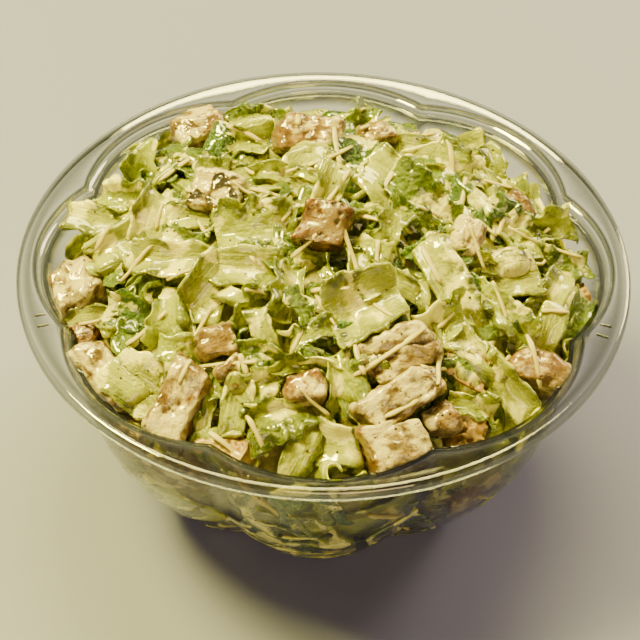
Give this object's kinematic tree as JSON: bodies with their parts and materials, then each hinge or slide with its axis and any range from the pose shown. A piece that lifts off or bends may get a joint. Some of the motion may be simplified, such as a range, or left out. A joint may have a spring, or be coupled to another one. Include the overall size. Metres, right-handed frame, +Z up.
{
  "type": "chicken caesar salad in a bowl",
  "caption": "Chopped romaine salad with chicken cubes, croutons and parmesan shreds, heaped in a clear lobed takeaway bowl.",
  "frame": {"origin": "centre of the bowl's flat base, on the surface it stands on", "axes": "+Z up out of the bowl; the front of the salad faces -Y and its right side +X"},
  "size_m": [0.2154, 0.2154, 0.1253],
  "materials": {
    "bowl": "clear glossy thin plastic",
    "romaine": "wet chopped leaf with thin creamy dressing",
    "chicken": "moist cooked chicken with thin creamy dressing",
    "crouton": "toasted, slightly oily bread"
  },
  "bodies": {
    "root": {"bowl": "bowl", "chicken_back": "chicken", "chicken_back_left": "chicken", "chicken_back_small": "chicken", "chicken_charred": "chicken", "chicken_cube": "chicken", "chicken_cube_behind": "chicken", "chicken_front_bit": "chicken", "chicken_front_brown": "chicken", "chicken_left": "chicken", "chicken_left_front": "chicken", "chicken_left_small": "chicken", "chicken_right_back": "chicken", "chicken_right_bit": "chicken", "chicken_right_front": "chicken", "chicken_right_mid": "chicken", "chicken_slice_lower": "chicken", "chicken_slice_upper": "chicken", "chicken_strip": "chicken", "chicken_wall_back": "chicken", "chicken_wall_back_left": "chicken", "chicken_wall_left": "chicken", "chicken_wall_right": "chicken", "crouton_front_left": "crouton", "crouton_front_right": "crouton", "crouton_front_small": "crouton", "crouton_left": "crouton", "crouton_right": "crouton", "crouton_top": "crouton", "crouton_wall_back": "crouton", "crouton_wall_left": "crouton", "romaine_heap": "romaine"}
  },
  "joints": []
}
